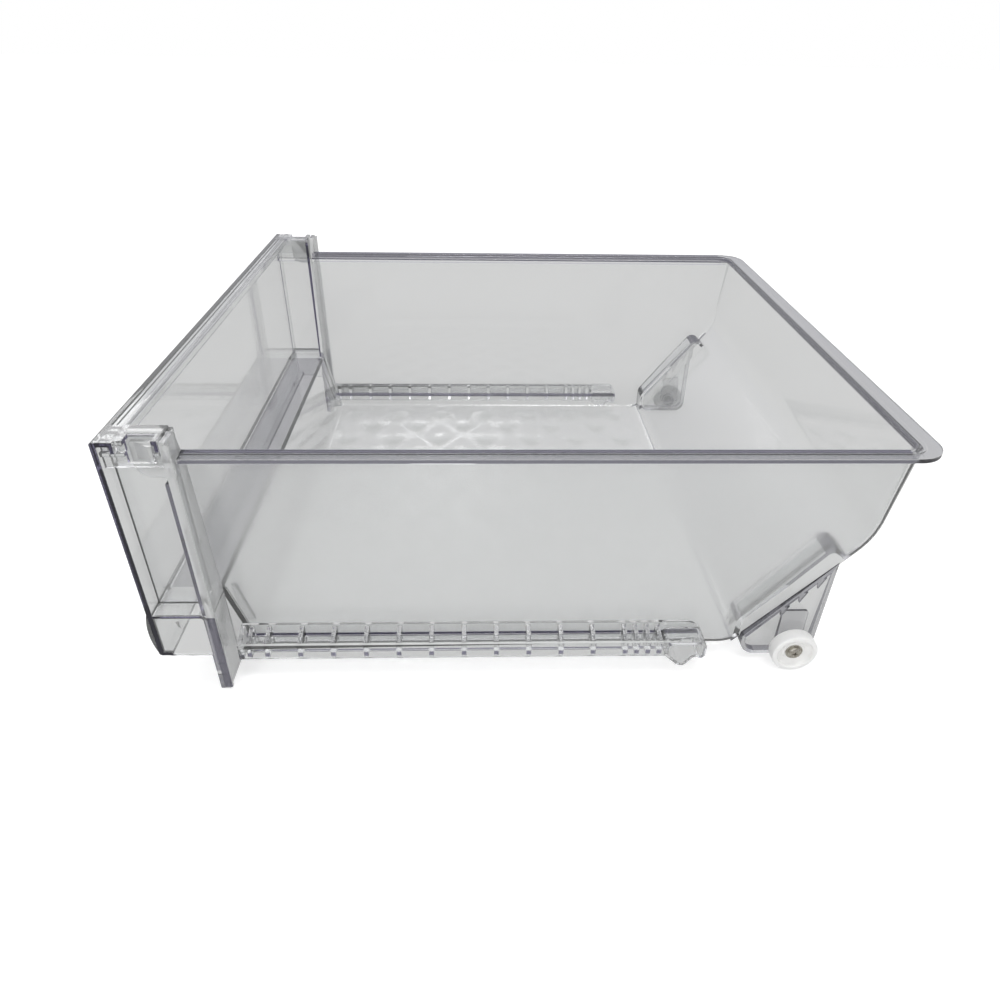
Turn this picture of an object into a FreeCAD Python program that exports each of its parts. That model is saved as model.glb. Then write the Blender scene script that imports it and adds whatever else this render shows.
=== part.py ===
"""Clear refrigerator crisper drawer: tub, snapped-on front cover, runners and rear rollers.

Drawing frame, in millimetres: X across, Y back from the cover's front face, Z up from the
surface that the drawer stands on. The finished shapes are moved so that the origin is the
middle of the drawer's footprint. The tub and the cover are one moulding each; the tub's
wings and the cover's ends are kept as pieces of their own, which meet them face to face.
"""
import FreeCAD, Part
import math
import os

V = FreeCAD.Vector

# Overall sizes
WIDTH = 365.0
HEIGHT = 158.5
REAR_Y = 400.0
LIP_SWELL = 2.0
HALF = WIDTH / 2.0
WALL = 2.5

# Beyond the drawer on every side, and how far a cutter or a joined shape reaches past a face
FAR = 220.0
SPARE = 1.0

# Tub walls: side profile and draft
WALL_TOP_Z = 139.5
WALL_TOP_HALF = 165.5
FLOOR_Z = 7.4
FLOOR_HALF = 157.75
JOINT_Y = 30.6
SLOPE_FOOT_Y = 324.6
SLOPE_TOP = (386.0, 87.5)
REAR_WALL_TOP_Y = 390.5
SLOPE_FOOT_R = 20.0
SLOPE_TOP_R = 40.0
CORNER_R = 4.5
SLOPE_LENGTH = math.dist((SLOPE_FOOT_Y, FLOOR_Z), SLOPE_TOP)

# Low wall at the front of the tub
SILL_Z = 55.5
WEB_FOOT_Y = 43.0
WEB_FOOT_R = 6.0
GUSSET_X = 144.0
GUSSET_Z = (20.0, 46.0)
GUSSET_T = 2.0

# Rim
RIM_Z = 146.5
RIM_INNER_HALF = 167.3
RIM_OUTER_HALF = 175.4
RIM_INNER_Y = 387.8
RIM_T = 2.5
RIM_LIP_DROP = 3.2
RIM_BEAD = 4.0
RIM_STEP = 0.8
RIM_OUTER_R = 16.0
RIM_INNER_R = 7.0
RISER_FOOT_Z = 140.0
LEDGE_Z = 142.5

# Wings at the tub's front corners, which the cover is snapped on to
WING_T = 2.5
WING_RETURN = 1.7
WING_TOP_Z = 158.0
WING_TOP_R = 1.0
POST_LEAN = 3.0
LEG_INNER_X = 158.0
FOOT_R = 2.0

# Snap tongue on each wing
TONGUE_X = (174.3, 176.6)
TONGUE_FRONT_Y = 14.5
TONGUE_Z = (136.9, 155.8)
TONGUE_R = 7.0
TONGUE_TOP_R = 1.0
TONGUE_ROOT_TOP_Z = 151.5
TONGUE_STEP_Y = 26.9
HOOK_OUT_X = 180.8
HOOK_Y = (15.0, 24.5, 26.2)
HOOK_Z = (147.0, 155.4)

# Front cover
PLATE_T = 3.0
PLATE_FOOT_Z = 56.5
BAND_DEPTH = 10.5
BAND_T = 2.5
BAND_LIP_T = 2.2
BAND_LIP_Z = 152.5
GROOVE_W = 0.8
GROOVE_DEEP = 0.5
GROOVE_PITCH = 2.4
SHELF_Z = (52.5, 55.5)
LIP_FOOT_Z = 27.0
LIP_RETURN_Y = 7.5
LIP_T = 2.5
LIP_FOOT_R = 2.0
LIP_EDGE_R = 0.8
SHELF_ROOT_R = 2.0
BEND_R = 2.0
BAND_EDGE_R = 1.5
BAND_REAR_R = 0.5
END_WALL_X = (170.0, 172.5)
FLANGE_T = 2.5
FLANGE_X = (163.5, 181.5)
FLANGE_TOP_Z = 136.0
LOWER_END_X = (180.0, 182.5)
LOWER_END_Z = 26.7

# Corner blocks of the cover
BLOCK_INNER_X = 165.5
BLOCK_REAR_Y = 29.5
BLOCK_FOOT_Z = 144.0
BLOCK_T = 2.0
BLOCK_GAP = 0.5
BLOCK_SKIRT_X = 180.0
BLOCK_TOP_OUT = 1.0
BLOCK_BEAD_OUT = 1.5
BLOCK_BEAD_Z = 150.5
INNER_STEP_Z = 140.0
NOTCH_Y = (14.0, 26.5)
NOTCH_FOOT_Z = 146.5
NOTCH_X = 174.0

# Rollers and their brackets, below the slope
AXLE_Y = 355.5
ROLLER_R = 13.0
AXLE_Z = ROLLER_R
ROLLER_X = (164.7, 172.3)
COLLAR_X = 164.4
COLLAR_R = 5.2
SPIGOT_R = 3.0
BORE_R = 3.15
HUB_FACE_X = 169.3
HUB_R = 6.5
DISH_R = 10.3
DISH_STEP = 1.6
SMALL_BEVEL = 0.5
BIG_BEVEL = 1.0
SPIGOT_END_X = 169.5
SCREW_R = 1.5
PILOT_R = 1.6
WASHER_R = 4.9
WASHER_T = 0.8
HEAD_R = 3.9
HEAD_T = 1.9
HEAD_DOME = 1.1
SCREW_TIP_X = 159.0
PILOT_SPARE = 0.6
RECESS_W = 1.1
RECESS_LENGTH = 4.4
RECESS_DEEP = 1.2
BRACKET_FLANGE_X = 162.0
BRACKET_FLANGE_T = 2.4
BRACKET_FRONT_Y = 326.9
BRACKET_REAR_Y = 369.5
BRACKET_FOOT_Z = 4.0
BRACKET_FRONT_R = 9.5
BRACKET_REAR_R = 8.0
BRACKET_LOW_TOP_Z = 18.0
BRACKET_HIGH_TOP_Z = 72.0
PAD_HALF = 7.5
PAD_LEAN = 1.0
PAD_R = 2.0
PAD_TOP_Z = 36.5
PAD_X = 161.0
GUSSET_SHARES = (0.4, 0.53, 0.66)
GUSSET_HALF = 2.2
GUSSET_DROP = 8.0

# Pocket that rises into the tub over each bracket
POCKET_X = 142.0
POCKET_RISE = 13.0
POCKET_R = 6.0
POCKET_LOW = 0.146
POCKET_HIGH = 0.83

# Runners
RUNNER_OUT_X = 173.2
RUNNER_Z = (13.8, 24.3)
RUNNER_WALL_TOP_Z = 28.5
RUNNER_FLANGE_T = 1.8
RUNNER_END_R = 11.0
RUNNER_WEB_Z = (18.6, 20.5)
RIB_T = 2.6
RIB_INSET_Z = 0.7
RUNNER_FRONT_Y = 38.0
FIRST_RIB_Y = 53.8
RIB_PITCH = 18.4
RIB_COUNT = 12
FRONT_RIB_Y = 44.0
CLOSE_PITCH = 6.5
CLOSE_RIBS = 3
LOOP_Y = 279.0
LOOP_WALL = 2.0
LOOP_TOP_R = 4.5
LOOP_FRONT_R = 2.5
LOOP_DIP = (289.8, 4.0, 4.0)
LOOP_CATCH = (296.5, 13.2, 1.5)
LOOP_HEEL = (300.6, 11.0, 2.2)
LOOP_REAR_R = 1.0
RUNNER_REAR_Y = 302.5


def rounded_edges(corners, to_point):
    """Edges of a closed outline through corners (a, b, radius), rounded where radius > 0."""
    points = [to_point(a, b) for a, b, _ in corners]
    starts = []
    ends = []
    arcs = []
    for i, corner in enumerate(corners):
        here = points[i]
        back = (points[i - 1] - here).normalize()
        ahead = (points[(i + 1) % len(points)] - here).normalize()
        radius = corner[2]
        if radius <= 0:
            starts.append(here)
            ends.append(here)
            arcs.append(None)
            continue
        half_angle = back.getAngle(ahead) / 2.0
        reach = radius / math.tan(half_angle)
        middle = (back + ahead).normalize() * (radius / math.sin(half_angle) - radius)
        starts.append(here + back * reach)
        ends.append(here + ahead * reach)
        arcs.append(Part.Arc(starts[-1], here + middle, ends[-1]))
    edges = []
    for i in range(len(corners)):
        if arcs[i] is not None:
            edges.append(arcs[i].toShape())
        following = starts[(i + 1) % len(corners)]
        if ends[i].distanceToPoint(following) > 1e-6:
            edges.append(Part.LineSegment(ends[i], following).toShape())
    return edges


def outline_face(corners, to_point):
    """Flat face bounded by a rounded outline."""
    return Part.Face(Part.Wire(rounded_edges(corners, to_point)))


def sharp(points, radius=0.0):
    """Corners that all have one radius."""
    return [(a, b, radius) for a, b in points]


def side_slab(corners, x_low, x_high):
    """Outline drawn in the Y-Z plane, extruded across X."""
    return outline_face(corners, lambda a, b: V(x_low, a, b)).extrude(V(x_high - x_low, 0, 0))


def front_slab(corners, y_low, y_high):
    """Outline drawn in the X-Z plane, extruded along Y."""
    return outline_face(corners, lambda a, b: V(a, y_low, b)).extrude(V(0, y_high - y_low, 0))


def plan_slab(corners, z_low, z_high):
    """Outline drawn in the X-Y plane, extruded up Z."""
    return outline_face(corners, lambda a, b: V(a, b, z_low)).extrude(V(0, 0, z_high - z_low))


def block(x, y, z):
    """Box between the low and high values of x, y and z."""
    return Part.makeBox(x[1] - x[0], y[1] - y[0], z[1] - z[0], V(x[0], y[0], z[0]))


def rod(radius, x_low, x_high, y, z):
    """Cylinder along X."""
    return Part.makeCylinder(radius, x_high - x_low, V(x_low, y, z), V(1, 0, 0))


def mirrored(shape):
    """The same shape on the other side of the drawer."""
    return shape.mirror(V(0, 0, 0), V(1, 0, 0))


def both_sides(shape):
    """A right-hand shape and its mirror image."""
    return [shape, mirrored(shape)]


def joined(shapes):
    """One solid from shapes that meet or overlap."""
    return shapes[0].multiFuse(shapes[1:]).removeSplitter()


def wall_half(z):
    """Half-width of the tub over the outer faces of its drafted side walls."""
    rise = (z - FLOOR_Z) / (WALL_TOP_Z - FLOOR_Z)
    return FLOOR_HALF + (WALL_TOP_HALF - FLOOR_HALF) * rise


def drafted_prism(inset, z_low, z_high, y_low, y_high):
    """Space between the two side walls' outer faces, or inset from them."""
    low = wall_half(z_low) - inset
    high = wall_half(z_high) - inset
    corners = sharp([(-low, z_low), (low, z_low), (high, z_high), (-high, z_high)])
    return front_slab(corners, y_low, y_high)


def slope_point(along):
    """Point on the underside of the rear slope, as a share of its length."""
    y = SLOPE_FOOT_Y + (SLOPE_TOP[0] - SLOPE_FOOT_Y) * along
    z = FLOOR_Z + (SLOPE_TOP[1] - FLOOR_Z) * along
    return y, z


def slope_normal():
    """Unit vector square to the slope, pointing up into the tub."""
    run = SLOPE_TOP[0] - SLOPE_FOOT_Y
    rise = SLOPE_TOP[1] - FLOOR_Z
    length = math.hypot(run, rise)
    return -rise / length, run / length


def above_slope(along, distance):
    """Point at a distance from the slope, measured square to it."""
    y, z = slope_point(along)
    normal = slope_normal()
    return y + normal[0] * distance, z + normal[1] * distance


def inset_corner(back, here, ahead, distance):
    """Corner of an outline whose two sides have both moved to the left by a distance."""
    coming = V(here[0] - back[0], here[1] - back[1], 0).normalize()
    going = V(ahead[0] - here[0], ahead[1] - here[1], 0).normalize()
    left = V(-coming.y - going.y, coming.x + going.x, 0)
    shift = left * (distance / (1.0 + coming.dot(going)))
    return here[0] + shift.x, here[1] + shift.y


def long_edges(shape, inset):
    """Bottom, slope and rear edges of a drafted form, where it meets its two side planes."""
    found = []
    for edge in shape.Edges:
        ends = [vertex.Point for vertex in edge.Vertexes]
        on_side = all(abs(abs(p.x) - wall_half(p.z) + inset) < 0.01 for p in ends)
        leaves_front = any(p.y > WEB_FOOT_Y for p in ends)
        below_top = any(p.z < LEDGE_Z for p in ends)
        if on_side and leaves_front and below_top:
            found.append(edge)
    return found


def tub_outside():
    """Outer form of the tub below the rim, as a solid."""
    profile = [
        (JOINT_Y, FLOOR_Z, 0),
        (SLOPE_FOOT_Y, FLOOR_Z, SLOPE_FOOT_R),
        (SLOPE_TOP[0], SLOPE_TOP[1], SLOPE_TOP_R),
        (REAR_WALL_TOP_Y, LEDGE_Z, 0),
        (JOINT_Y, LEDGE_Z, 0),
    ]
    form = side_slab(profile, -FAR, FAR).common(drafted_prism(0, 0, RIM_Z, 0, REAR_Y))
    return form.makeFillet(CORNER_R, long_edges(form, 0))


def tub_inside():
    """Storage space below the ledge, one wall inside the outer form."""
    sill = (JOINT_Y, SILL_Z)
    web_foot = (WEB_FOOT_Y, FLOOR_Z)
    slope_foot = (SLOPE_FOOT_Y, FLOOR_Z)
    rear_top = (REAR_WALL_TOP_Y, LEDGE_Z)
    inner_web_foot = inset_corner(sill, web_foot, slope_foot, WALL)
    inner_slope_foot = inset_corner(web_foot, slope_foot, SLOPE_TOP, WALL)
    inner_slope_top = inset_corner(slope_foot, SLOPE_TOP, rear_top, WALL)
    web_length = math.dist(sill, web_foot)
    inner_sill_y = JOINT_Y + WALL * web_length / (SILL_Z - FLOOR_Z)
    above = LEDGE_Z + WALL
    lean = (RIM_INNER_Y - inner_slope_top[0]) / (LEDGE_Z - inner_slope_top[1])
    profile = [
        (inner_web_foot[0], inner_web_foot[1], WEB_FOOT_R - WALL),
        (inner_slope_foot[0], inner_slope_foot[1], SLOPE_FOOT_R - WALL),
        (inner_slope_top[0], inner_slope_top[1], SLOPE_TOP_R - WALL),
        (RIM_INNER_Y + lean * WALL, above, 0),
        (0, above, 0),
        (0, SILL_Z, 0),
        (inner_sill_y, SILL_Z, 0),
    ]
    form = side_slab(profile, -FAR, FAR).common(drafted_prism(WALL, 0, RIM_Z, 0, REAR_Y))
    return form.makeFillet(CORNER_R - WALL, long_edges(form, WALL))


def web_void():
    """Space in front of and below the low front wall, between the side walls."""
    profile = [
        (0, SILL_Z, 0),
        (JOINT_Y, SILL_Z, 0),
        (WEB_FOOT_Y, FLOOR_Z, WEB_FOOT_R),
        (2 * WEB_FOOT_Y, FLOOR_Z, 0),
        (2 * WEB_FOOT_Y, 0, 0),
        (0, 0, 0),
    ]
    return side_slab(profile, -FAR, FAR).common(drafted_prism(WALL, 0, RIM_Z, 0, REAR_Y))


def web_y(z):
    """Y of the low front wall's front face at a height."""
    share = (SILL_Z - z) / (SILL_Z - FLOOR_Z)
    return JOINT_Y + (WEB_FOOT_Y - JOINT_Y) * share


def web_gusset():
    """Thin rib that stiffens the low front wall beside the right-hand wing."""
    corners = sharp([
        (JOINT_Y, GUSSET_Z[1]),
        (JOINT_Y + WING_T, GUSSET_Z[0]),
        (web_y(GUSSET_Z[0]) + SPARE, GUSSET_Z[0]),
        (web_y(GUSSET_Z[1]) + SPARE, GUSSET_Z[1]),
    ])
    return side_slab(corners, GUSSET_X, GUSSET_X + GUSSET_T)


def rim_ring(outer_half, outer_y, outer_r, inner_half, inner_y, inner_r, z_low, z_high):
    """U-shaped band round the tub's sides and rear, open at the front."""
    front = JOINT_Y + WING_T / 2.0
    outer = [
        (-outer_half, front, 0),
        (outer_half, front, 0),
        (outer_half, outer_y, outer_r),
        (-outer_half, outer_y, outer_r),
    ]
    inner = [
        (-inner_half, 0, 0),
        (inner_half, 0, 0),
        (inner_half, inner_y, inner_r),
        (-inner_half, inner_y, inner_r),
    ]
    return plan_slab(outer, z_low, z_high).cut(plan_slab(inner, z_low, z_high))


def rim():
    """Stepped rim: ledge, riser, raised bead and the lower outer strip."""
    riser_half = RIM_INNER_HALF + RIM_T
    riser_y = RIM_INNER_Y + RIM_T
    riser_r = RIM_INNER_R + RIM_T
    bead_half = RIM_INNER_HALF + RIM_BEAD
    bead_y = RIM_INNER_Y + RIM_BEAD
    bead_r = RIM_INNER_R + RIM_BEAD
    in_wall = WALL / 2.0
    wall_middle = wall_half(LEDGE_Z) - in_wall
    lip_z = RIM_Z - RIM_LIP_DROP
    opening = (RIM_INNER_HALF, RIM_INNER_Y, RIM_INNER_R)
    ledge = rim_ring(riser_half, riser_y, riser_r, wall_middle, RIM_INNER_Y + in_wall,
                     CORNER_R - in_wall, RISER_FOOT_Z, LEDGE_Z)
    riser = rim_ring(riser_half, riser_y, riser_r, *opening, LEDGE_Z, RIM_Z)
    bead = rim_ring(bead_half, bead_y, bead_r, *opening, lip_z, RIM_Z)
    strip = rim_ring(RIM_OUTER_HALF, REAR_Y, RIM_OUTER_R, *opening, lip_z, RIM_Z - RIM_STEP)
    return [ledge, riser, bead, strip]


def wing_plate():
    """Flat flange at the right front corner, with its turned outer edge and its post."""
    foot_x = wall_half(FLOOR_Z) - WALL
    ledge_x = wall_half(LEDGE_Z) - WALL
    outline = [
        (LEG_INNER_X, 0, FOOT_R),
        (HALF, 0, FOOT_R),
        (HALF, WING_TOP_Z, WING_TOP_R),
        (RIM_INNER_HALF + POST_LEAN, WING_TOP_Z, WING_TOP_R),
        (RIM_INNER_HALF, RIM_Z, 0),
        (RIM_INNER_HALF, LEDGE_Z, 0),
        (ledge_x, LEDGE_Z, 0),
        (foot_x, FLOOR_Z, 0),
        (LEG_INNER_X, FLOOR_Z, 0),
    ]
    plate = front_slab(outline, JOINT_Y, JOINT_Y + WING_T)
    back = JOINT_Y + WING_T
    edge = block((HALF - WING_RETURN, HALF), (back, back + WING_RETURN),
                 (FOOT_R, WING_TOP_Z - WING_TOP_R))
    return [plate, edge]


def snap_tongue():
    """Tongue on the front of the wing, with a wedge hook that catches in the cover's block."""
    root = JOINT_Y + WING_T / 2.0
    outline = [
        (TONGUE_FRONT_Y, TONGUE_Z[1], TONGUE_TOP_R),
        (TONGUE_FRONT_Y, TONGUE_Z[0], TONGUE_R),
        (root, TONGUE_Z[0], 0),
        (root, TONGUE_ROOT_TOP_Z, 0),
        (TONGUE_STEP_Y, TONGUE_ROOT_TOP_Z, 0),
        (TONGUE_STEP_Y, TONGUE_Z[1], 0),
    ]
    tongue = side_slab(outline, TONGUE_X[0], TONGUE_X[1])
    hook_root = (TONGUE_X[0] + TONGUE_X[1]) / 2.0
    wedge = sharp([
        (hook_root, HOOK_Y[0]),
        (HOOK_OUT_X, HOOK_Y[1]),
        (HOOK_OUT_X, HOOK_Y[2]),
        (hook_root, HOOK_Y[2]),
    ])
    return [tongue, plan_slab(wedge, HOOK_Z[0], HOOK_Z[1])]


def wing():
    """Right-hand wing of the tub with its snap tongue, outside the tub's wall and rim."""
    whole = joined(wing_plate() + snap_tongue())
    for cutter in [tub_outside()] + rim():
        whole = whole.cut(cutter)
    return whole


def pocket_profile(skin):
    """Side profile of the pocket, or of its hollow when a skin is given."""
    rise = POCKET_RISE - skin
    low = above_slope(POCKET_LOW + skin / SLOPE_LENGTH, rise)
    high = above_slope(POCKET_HIGH - skin / SLOPE_LENGTH, rise)
    if skin > 0:
        depth = -POCKET_RISE
        foot_z = 0.0
    else:
        depth = WALL / 2.0
        foot_z = FLOOR_Z + WALL / 2.0
    end = above_slope(POCKET_HIGH - skin / SLOPE_LENGTH, depth)
    return [
        (low[0], foot_z, 0),
        (low[0], low[1], POCKET_R - skin),
        (high[0], high[1], POCKET_R - skin),
        (end[0], end[1], 0),
        above_slope(POCKET_LOW, depth) + (0,),
    ]


def pocket_solid():
    """Pocket that rises from the slope over the bracket, as far as the side wall."""
    form = side_slab(pocket_profile(0.0), POCKET_X, LEG_INNER_X)
    return form.common(drafted_prism(WALL / 2.0, 0, RIM_Z, 0, REAR_Y))


def pocket_hollow():
    """Hollow of the pocket, open below the slope."""
    form = side_slab(pocket_profile(WALL), POCKET_X + WALL, FAR)
    return form.common(drafted_prism(WALL, -REAR_Y, RIM_Z, 0, REAR_Y))


def bracket_corners(raise_by):
    """Outline of the roller bracket, with its upper side inside the tub's wall."""
    return [
        (BRACKET_FRONT_Y, BRACKET_LOW_TOP_Z + raise_by, 0),
        (BRACKET_FRONT_Y, BRACKET_FOOT_Z, BRACKET_FRONT_R),
        (BRACKET_REAR_Y, BRACKET_FOOT_Z, BRACKET_REAR_R),
        (BRACKET_REAR_Y, BRACKET_HIGH_TOP_Z + raise_by, 0),
    ]


def side_skin(z_low, z_high):
    """Layer of the right-hand side wall, one wall thick, as far as the planes run."""
    outer = drafted_prism(0, z_low, z_high, 0, REAR_Y)
    inner = drafted_prism(WALL, z_low, z_high, -SPARE, REAR_Y + SPARE)
    return outer.cut(inner).common(block((0, FAR), (0, REAR_Y), (z_low, z_high)))


def bracket():
    """Roller bracket: the side wall carried on below the slope, with a flange round it."""
    skin = side_skin(0, RIM_Z)
    plate = side_slab(bracket_corners(CORNER_R), 0, FAR).common(skin)
    rim_face = outline_face(bracket_corners(0), lambda a, b: V(0, a, b))
    window = rim_face.makeOffset2D(-BRACKET_FLANGE_T)
    band = rim_face.cut(window).extrude(V(BRACKET_FLANGE_X, 0, 0))
    band = band.cut(drafted_prism(WALL / 2.0, 0, RIM_Z, 0, REAR_Y))
    return [plate, band]


def bracket_ribs():
    """Pad above the axle and the small gussets under the bracket's flange."""
    inner_x = wall_half(AXLE_Z) - WALL / 2.0
    pad_corners = [
        (AXLE_Y - PAD_HALF, AXLE_Z, 0),
        (AXLE_Y + PAD_HALF, AXLE_Z, 0),
        (AXLE_Y + PAD_HALF - PAD_LEAN, PAD_TOP_Z, PAD_R),
        (AXLE_Y - PAD_HALF - PAD_LEAN, PAD_TOP_Z, PAD_R),
    ]
    ribs = [side_slab(pad_corners, inner_x, PAD_X)]
    for share in GUSSET_SHARES:
        y, z = above_slope(share, BRACKET_FLANGE_T)
        tip = sharp([
            (y - GUSSET_HALF, z - GUSSET_HALF),
            (y - GUSSET_HALF / 2.0, z - GUSSET_DROP),
            (y + GUSSET_HALF, z),
        ])
        ribs.append(side_slab(tip, inner_x, BRACKET_FLANGE_X))
    return ribs


def roller_mount():
    """Collar and spigot that carry the roller, drilled for its screw."""
    inner_x = wall_half(AXLE_Z) - WALL
    collar = rod(COLLAR_R, inner_x, COLLAR_X, AXLE_Y, AXLE_Z)
    spigot = rod(SPIGOT_R, inner_x, SPIGOT_END_X, AXLE_Y, AXLE_Z)
    return [collar, spigot]


def tub():
    """Storage tub with its rim, pockets and roller brackets."""
    shell = tub_outside().cut(tub_inside()).cut(web_void())
    added = rim()
    for shape in bracket() + bracket_ribs() + roller_mount():
        added.extend(both_sides(shape))
    added.extend(both_sides(web_gusset()))
    added.extend(both_sides(pocket_solid()))
    whole = joined([shell] + added)
    pilot = rod(PILOT_R, SCREW_TIP_X - PILOT_SPARE, SPIGOT_END_X + SPARE, AXLE_Y, AXLE_Z)
    for cutter in both_sides(pocket_hollow()) + both_sides(pilot):
        whole = whole.cut(cutter)
    return whole


def cover_section():
    """Cross-section of the cover: top band, plate, shelf and finger lip."""
    return [
        (0, HEIGHT, BAND_EDGE_R),
        (0, LIP_FOOT_Z, LIP_FOOT_R),
        (LIP_RETURN_Y, LIP_FOOT_Z, LIP_EDGE_R),
        (LIP_RETURN_Y, LIP_FOOT_Z + LIP_T, LIP_EDGE_R),
        (PLATE_T, LIP_FOOT_Z + LIP_T, LIP_EDGE_R),
        (PLATE_T, SHELF_Z[0], SHELF_ROOT_R),
        (JOINT_Y, SHELF_Z[0], 0),
        (JOINT_Y, SHELF_Z[1], 0),
        (PLATE_T, SHELF_Z[1], SHELF_ROOT_R),
        (PLATE_T, HEIGHT - BAND_T, LIP_EDGE_R),
        (BAND_DEPTH - BAND_LIP_T, HEIGHT - BAND_T, LIP_EDGE_R),
        (BAND_DEPTH - BAND_LIP_T, BAND_LIP_Z, 0),
        (BAND_DEPTH, BAND_LIP_Z, 0),
        (BAND_DEPTH, HEIGHT, BAND_REAR_R),
    ]


def lip_swell():
    """Rounded swell on the front of the finger lip."""
    top = V(-HALF, 0, PLATE_FOOT_Z)
    middle = V(-HALF, -LIP_SWELL, (PLATE_FOOT_Z + LIP_FOOT_Z) / 2.0)
    foot = V(-HALF, 0, LIP_FOOT_Z + LIP_T)
    curve = Part.Arc(top, middle, foot).toShape()
    chord = [
        Part.LineSegment(foot, foot + V(0, PLATE_T / 2.0, 0)).toShape(),
        Part.LineSegment(foot + V(0, PLATE_T / 2.0, 0), top + V(0, PLATE_T / 2.0, 0)).toShape(),
        Part.LineSegment(top + V(0, PLATE_T / 2.0, 0), top).toShape(),
    ]
    return Part.Face(Part.Wire([curve] + chord)).extrude(V(WIDTH, 0, 0))


def band_grooves():
    """Two shallow grooves along the top of the band."""
    reach = BLOCK_INNER_X
    grooves = []
    for i in (1, 2):
        y = BAND_DEPTH / 2.0 + (i - 1.5) * GROOVE_PITCH
        grooves.append(block((-reach, reach), (y - GROOVE_W / 2.0, y + GROOVE_W / 2.0),
                             (HEIGHT - GROOVE_DEEP, HEIGHT + GROOVE_DEEP)))
    return grooves


def leg():
    """Right-hand leg, bent down from the end of the shelf."""
    bent = [
        (PLATE_T, SHELF_Z[1], 0),
        (JOINT_Y, SHELF_Z[1], BEND_R + FLANGE_T),
        (JOINT_Y, 0, 0),
        (JOINT_Y - FLANGE_T, 0, 0),
        (JOINT_Y - FLANGE_T, SHELF_Z[0], BEND_R),
        (PLATE_T, SHELF_Z[0], 0),
    ]
    outline = [
        (LEG_INNER_X, 0, FOOT_R),
        (HALF, 0, FOOT_R),
        (HALF, SHELF_Z[1], 0),
        (LEG_INNER_X, SHELF_Z[1], 0),
    ]
    return side_slab(bent, LEG_INNER_X, HALF).common(front_slab(outline, 0, JOINT_Y))


def end_wall():
    """Right-hand end of the cover, inset above the shelf, with its rear flange."""
    y_low = PLATE_T / 2.0
    y_high = JOINT_Y - FLANGE_T / 2.0
    wall = block(END_WALL_X, (y_low, y_high), (SHELF_Z[1] - SPARE, HEIGHT - SPARE))
    step = block((BLOCK_INNER_X, END_WALL_X[1]), (y_low, BLOCK_REAR_Y),
                 (INNER_STEP_Z, INNER_STEP_Z + BLOCK_T))
    inner = block((BLOCK_INNER_X, BLOCK_INNER_X + BLOCK_T), (y_low, BLOCK_REAR_Y),
                  (INNER_STEP_Z, HEIGHT - SPARE))
    flange_y = (JOINT_Y - FLANGE_T, JOINT_Y)
    flange_foot = SHELF_Z[1] - SPARE
    flange = block(FLANGE_X, flange_y, (flange_foot, FLANGE_TOP_Z))
    tall = block((FLANGE_X[0], END_WALL_X[1]), flange_y, (flange_foot, HEIGHT - BLOCK_T))
    lower = [
        (PLATE_T / 2.0, SHELF_Z[0] + SPARE, 0),
        (PLATE_T / 2.0, LOWER_END_Z + SPARE, 0),
        (LIP_RETURN_Y, LOWER_END_Z, 0),
        (JOINT_Y - FLANGE_T / 2.0, LOWER_END_Z, 0),
        (JOINT_Y - FLANGE_T / 2.0, SHELF_Z[0] + SPARE, 0),
    ]
    return [wall, step, inner, flange, tall, side_slab(lower, LOWER_END_X[0], LOWER_END_X[1])]


def corner_block():
    """Stepped hollow block at the cover's right-hand top corner."""
    skirt_x = BLOCK_SKIRT_X
    top_x = skirt_x + BLOCK_TOP_OUT
    waist_x = skirt_x - BLOCK_TOP_OUT
    bead_x = skirt_x + BLOCK_BEAD_OUT
    section = sharp([
        (BLOCK_INNER_X, HEIGHT),
        (top_x, HEIGHT),
        (top_x, HEIGHT - BAND_T),
        (waist_x, HEIGHT - BAND_T),
        (waist_x, BLOCK_BEAD_Z + BLOCK_T),
        (bead_x, BLOCK_BEAD_Z + BLOCK_T),
        (bead_x, BLOCK_BEAD_Z),
        (skirt_x, BLOCK_BEAD_Z),
        (skirt_x, BLOCK_FOOT_Z),
        (skirt_x - BLOCK_T, BLOCK_FOOT_Z),
        (skirt_x - BLOCK_T, BLOCK_BEAD_Z + BLOCK_T / 2.0),
        (waist_x - BLOCK_T, BLOCK_BEAD_Z + BLOCK_T),
        (waist_x - BLOCK_T, HEIGHT - BLOCK_T),
        (BLOCK_INNER_X, HEIGHT - BLOCK_T),
    ])
    body = front_slab(section, PLATE_T / 2.0, BLOCK_REAR_Y)
    rear = block((END_WALL_X[1], top_x), (BLOCK_REAR_Y - BLOCK_T, BLOCK_REAR_Y),
                 (TONGUE_ROOT_TOP_Z + BLOCK_GAP, HEIGHT))
    return [body, rear]


def block_notch():
    """Opening in the block's outer side that the snap hook catches in."""
    return block((NOTCH_X, FAR), NOTCH_Y, (NOTCH_FOOT_Z, HEIGHT + SPARE))


def shelf_end():
    """Stretch of the shelf over the right-hand leg, which belongs to the cover's end."""
    return block((LEG_INNER_X, FAR), (PLATE_T, FAR), (LIP_FOOT_Z + LIP_T, BAND_LIP_Z))


def front_cover():
    """Clear front cover: window, top band, shelf and finger lip."""
    whole = joined([side_slab(cover_section(), -HALF, HALF), lip_swell()])
    for cutter in band_grooves() + both_sides(shelf_end()):
        whole = whole.cut(cutter)
    return whole


def cover_end(cover):
    """Right-hand end of the cover: leg, end wall and corner block behind the window."""
    whole = joined([leg()] + end_wall() + corner_block())
    return whole.cut(cover).cut(block_notch())


def runner_strip(z_low, z_wall, z_high, x_high):
    """X-Z outline from the tub's drafted wall, as high as z_wall there, out to a given X."""
    return sharp([(wall_half(z_low), z_low), (x_high, z_low), (x_high, z_high),
                  (wall_half(z_wall), z_wall)])


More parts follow.
